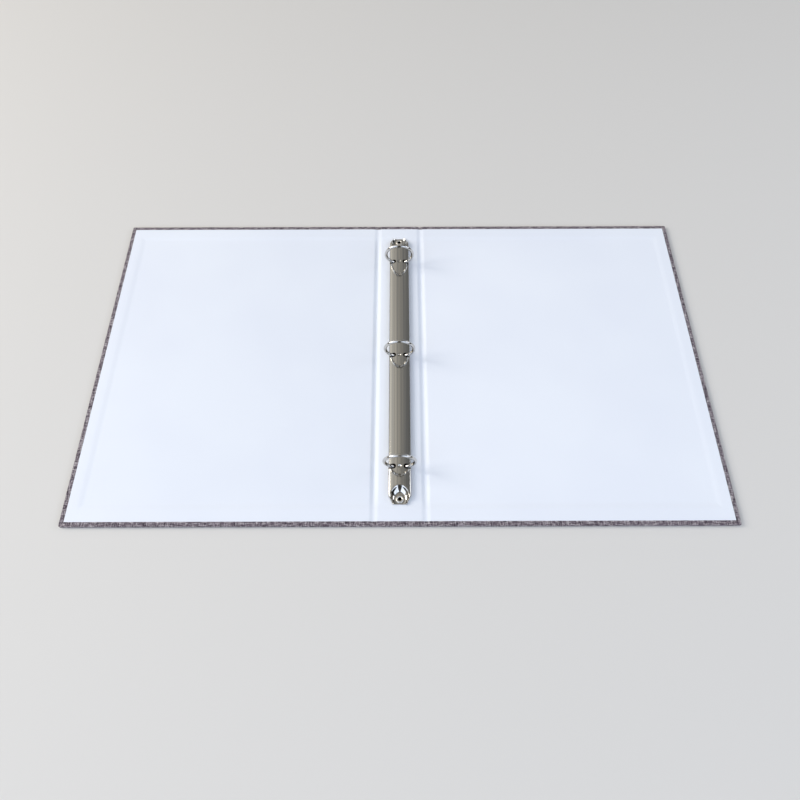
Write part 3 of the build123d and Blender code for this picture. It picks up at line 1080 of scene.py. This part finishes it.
    def make_cover(self, material: bpy.types.Material) -> bpy.types.Object:
        """Presses the cover from a flat grid: arched, lipped, dished round the rivets and slotted.

        Args:
            material: The finish of the sheet.

        Returns:
            The finished piece.
        """
        rows = self.stations()
        columns = 2 * len(self.section(0.0)) - 1
        bm = bmesh.new()
        bmesh.ops.create_grid(bm, x_segments=columns - 1, y_segments=len(rows) - 1, size=1.0)
        halves = [self.section(y) for y in rows]
        for v in bm.verts:
            row = round((v.co.y + 1) / 2 * (len(rows) - 1))
            column = round((v.co.x + 1) / 2 * (columns - 1)) - columns // 2
            x, z = halves[row][abs(column)]
            v.co = Vector((math.copysign(x, column), rows[row], z)) * MM
        piece = to_object("pressed_mechanism_cover", bm)
        thicken(piece, self.sheet_mm * MM)
        cut_away(piece, self.cutter())
        keep_creases(piece)
        dress(piece, material)
        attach(piece, "spine")
        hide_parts("mechanism_cover")
        return piece

    def build(
        self,
        sheet: bpy.types.Material,
        wire: bpy.types.Material,
        rivet: bpy.types.Material,
        plate: bpy.types.Material,
    ) -> None:
        """Makes the cover and dresses the mechanism's other pieces.

        Args:
            sheet: The finish of the formed cover.
            wire: The finish of the half rings.
            rivet: The finish of the rivets.
            plate: The finish of the hinge plates inside.
        """
        cover = self.make_cover(sheet)
        log.info("mechanism: %s, %d faces", cover.name, len(cover.data.polygons))
        finishes = {"mechanism_cover": sheet, "front_hinge_plate": plate, "back_hinge_plate": plate}
        for place in RING_PLACES:
            for side in Side:
                finishes[f"{side.word}_half_ring_{place}"] = wire
        for place in RIVET_PLACES:
            finishes[f"rivet_{place}"] = rivet
        for name, finish in finishes.items():
            dress(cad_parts[name], finish)
            log.info("mechanism: %s dressed", name)


# ---------------------------------------------------------------- the studio


@dataclass(frozen=True)
class SoftBox:
    """A rectangular soft light that faces the binder: its place and size in metres, its power in watts."""

    name: str
    place: tuple[float, float, float]
    size: tuple[float, float]
    power: float
    colour: str

    def build(self) -> None:
        """Makes the light, turned towards the binder, and adds it to the scene."""
        data = bpy.data.lights.new(self.name, "AREA")
        data.shape = "RECTANGLE"
        data.size, data.size_y = self.size
        data.energy = self.power
        data.color = linear(self.colour)[:3]
        light = bpy.data.objects.new(self.name, data)
        light.location = self.place
        light.rotation_euler = (-Vector(self.place)).to_track_quat("-Z", "Y").to_euler()
        bpy.context.scene.collection.objects.link(light)


@dataclass
class Studio:
    """A plain pale floor, soft light mostly from the left, and the camera."""

    floor_colour: str = "d9d7d2"
    floor_roughness: float = 0.8
    floor_reach: float = 8.0
    floor_sides: int = 128
    floor_gap_mm: float = 0.05
    camera_mm: tuple[float, float, float] = (0.4, -302.4, 519.7)
    tilt_deg: float = 61.37
    roll_deg: float = -0.16
    lens_mm: float = 29.17
    sensor_mm: float = 36.0
    nearest_mm: float = 10.0
    shift_y: float = -0.029
    soft_boxes: tuple[SoftBox, ...] = (
        SoftBox("window_left", (-2.2, 0.23, 1.35), (1.2, 1.2), 40.0, "fff8f0"),
        SoftBox("window_right", (1.9, 0.2, 1.1), (1.0, 1.0), 10.0, "eef3ff"),
        SoftBox("fill_front_left", (-1.4, -1.7, 1.5), (2.1, 1.6), 25.0, "d8e6ff"),
        SoftBox("fill_front_right", (1.4, -1.7, 1.5), (2.1, 1.6), 25.0, "d8e6ff"),
    )
    # From the far left of the sky to the far right
    sky: tuple[tuple[float, str], ...] = (
        (0.0, "ffffff"),
        (0.2, "ecebe8"),
        (0.31, "cccac6"),
        (0.5, "b0aeaa"),
        (0.69, "909192"),
        (0.88, "6a6c6f"),
        (1.0, "4c4e52"),
    )
    # Shares of the sky's brightness left at the horizon and behind the camera
    horizon: float = 0.15
    behind_camera: float = 0.2
    # The sky is at its brightest above this height, as the z of its direction
    bright_height: float = 0.55
    # It dims between these, towards the side behind the camera, as the y of its direction
    dim_span: tuple[float, float] = (-0.75, -0.1)
    backdrop_level: float = 0.8

    def lay_floor(self) -> None:
        """Makes the floor just under the binder."""
        bm = bmesh.new()
        bmesh.ops.create_circle(bm, cap_ends=True, segments=self.floor_sides, radius=self.floor_reach)
        bmesh.ops.translate(bm, verts=bm.verts, vec=(0, 0, -self.floor_gap_mm * MM))
        floor = to_object("floor", bm)
        material, _, shader = new_finish("floor_pale")
        shader.inputs["Base Color"].default_value = linear(self.floor_colour)
        shader.inputs["Roughness"].default_value = self.floor_roughness
        dress(floor, material)

    def set_lights(self) -> None:
        """Adds the soft lights and a sky that is bright on the left and dim on the right."""
        for box in self.soft_boxes:
            box.build()
        world = bpy.data.worlds.new("studio_sky")
        world.use_nodes = True
        tree = world.node_tree
        direction = add_node(tree, "ShaderNodeTexCoord").outputs["Generated"]
        split = add_node(tree, "ShaderNodeSeparateXYZ", {"Vector": direction})
        across = add_node(
            tree, "ShaderNodeMapRange", {"Value": split.outputs["X"], "From Min": -1.0, "From Max": 1.0}
        ).outputs["Result"]
        colour = colour_ramp(tree, across, self.sky)
        level = add_node(
            tree,
            "ShaderNodeMapRange",
            {
                "Value": split.outputs["Z"],
                "From Min": 0.0,
                "From Max": self.bright_height,
                "To Min": self.horizon,
                "To Max": 1.0,
            },
            interpolation_type="SMOOTHSTEP",
        )
        behind = add_node(
            tree,
            "ShaderNodeMapRange",
            {
                "Value": split.outputs["Y"],
                "From Min": self.dim_span[0],
                "From Max": self.dim_span[1],
                "To Min": self.behind_camera,
            },
            interpolation_type="SMOOTHSTEP",
        )
        strength = add_node(
            tree,
            "ShaderNodeMath",
            {0: level.outputs["Result"], 1: behind.outputs["Result"]},
            operation="MULTIPLY",
        )
        sky = tree.nodes["Background"]
        tree.links.new(colour, sky.inputs["Color"])
        tree.links.new(strength.outputs[0], sky.inputs["Strength"])
        plain = {"Color": linear(self.floor_colour), "Strength": self.backdrop_level}
        backdrop = add_node(tree, "ShaderNodeBackground", plain)
        seen = add_node(tree, "ShaderNodeLightPath").outputs["Is Camera Ray"]
        both = add_node(
            tree,
            "ShaderNodeMixShader",
            {0: seen, 1: sky.outputs["Background"], 2: backdrop.outputs["Background"]},
        )
        tree.links.new(both.outputs["Shader"], tree.nodes["World Output"].inputs["Surface"])
        bpy.context.scene.world = world

    def set_camera(self) -> None:
        """Stands the camera over the foot of the page, looking down along the spine."""
        data = bpy.data.cameras.new("camera")
        data.lens = self.lens_mm
        data.sensor_width = self.sensor_mm
        data.shift_y = self.shift_y
        data.clip_start = self.nearest_mm * MM
        camera = bpy.data.objects.new("camera", data)
        camera.location = Vector(self.camera_mm) * MM
        level = Matrix.Rotation(math.radians(90 - self.tilt_deg), 4, "X")
        roll = Matrix.Rotation(math.radians(self.roll_deg), 4, "Z")
        camera.rotation_euler = (level @ roll).to_euler()
        bpy.context.scene.collection.objects.link(camera)
        bpy.context.scene.camera = camera

    def build(self) -> None:
        """Sets up everything that isn't the binder."""
        self.lay_floor()
        self.set_lights()
        self.set_camera()
        bpy.context.scene.view_settings.view_transform = "Standard"


def main() -> None:
    """Builds the binder's looks."""
    logging.basicConfig(level=logging.INFO, format="%(message)s")
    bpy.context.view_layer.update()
    Studio().build()
    Case().build(BookCloth().make(), LiningPaper().make(), Greyboard().make())
    Mechanism().build(
        # Nickel over rolled strip: a soft mirror with a warm grey cast
        sheet=PlatedSteel("nickel_plate_on_rolled_strip", "cac6bd", "a9a8a5", 0.1).make(),
        # Nickel over drawn wire: a nearly clear mirror
        wire=PlatedSteel("nickel_plate_on_drawn_wire", "d2cfca", "c6c3be", 0.05).make(),
        rivet=RivetPlate().make(),
        # Zinc plate painted almost black: the dark colour is painted shade, for the dark inside the cover
        plate=PlatedSteel("zinc_plate_painted_shade", "27282a", "1d1e20", 0.42).make(),
    )


if __name__ == "__main__":
    main()
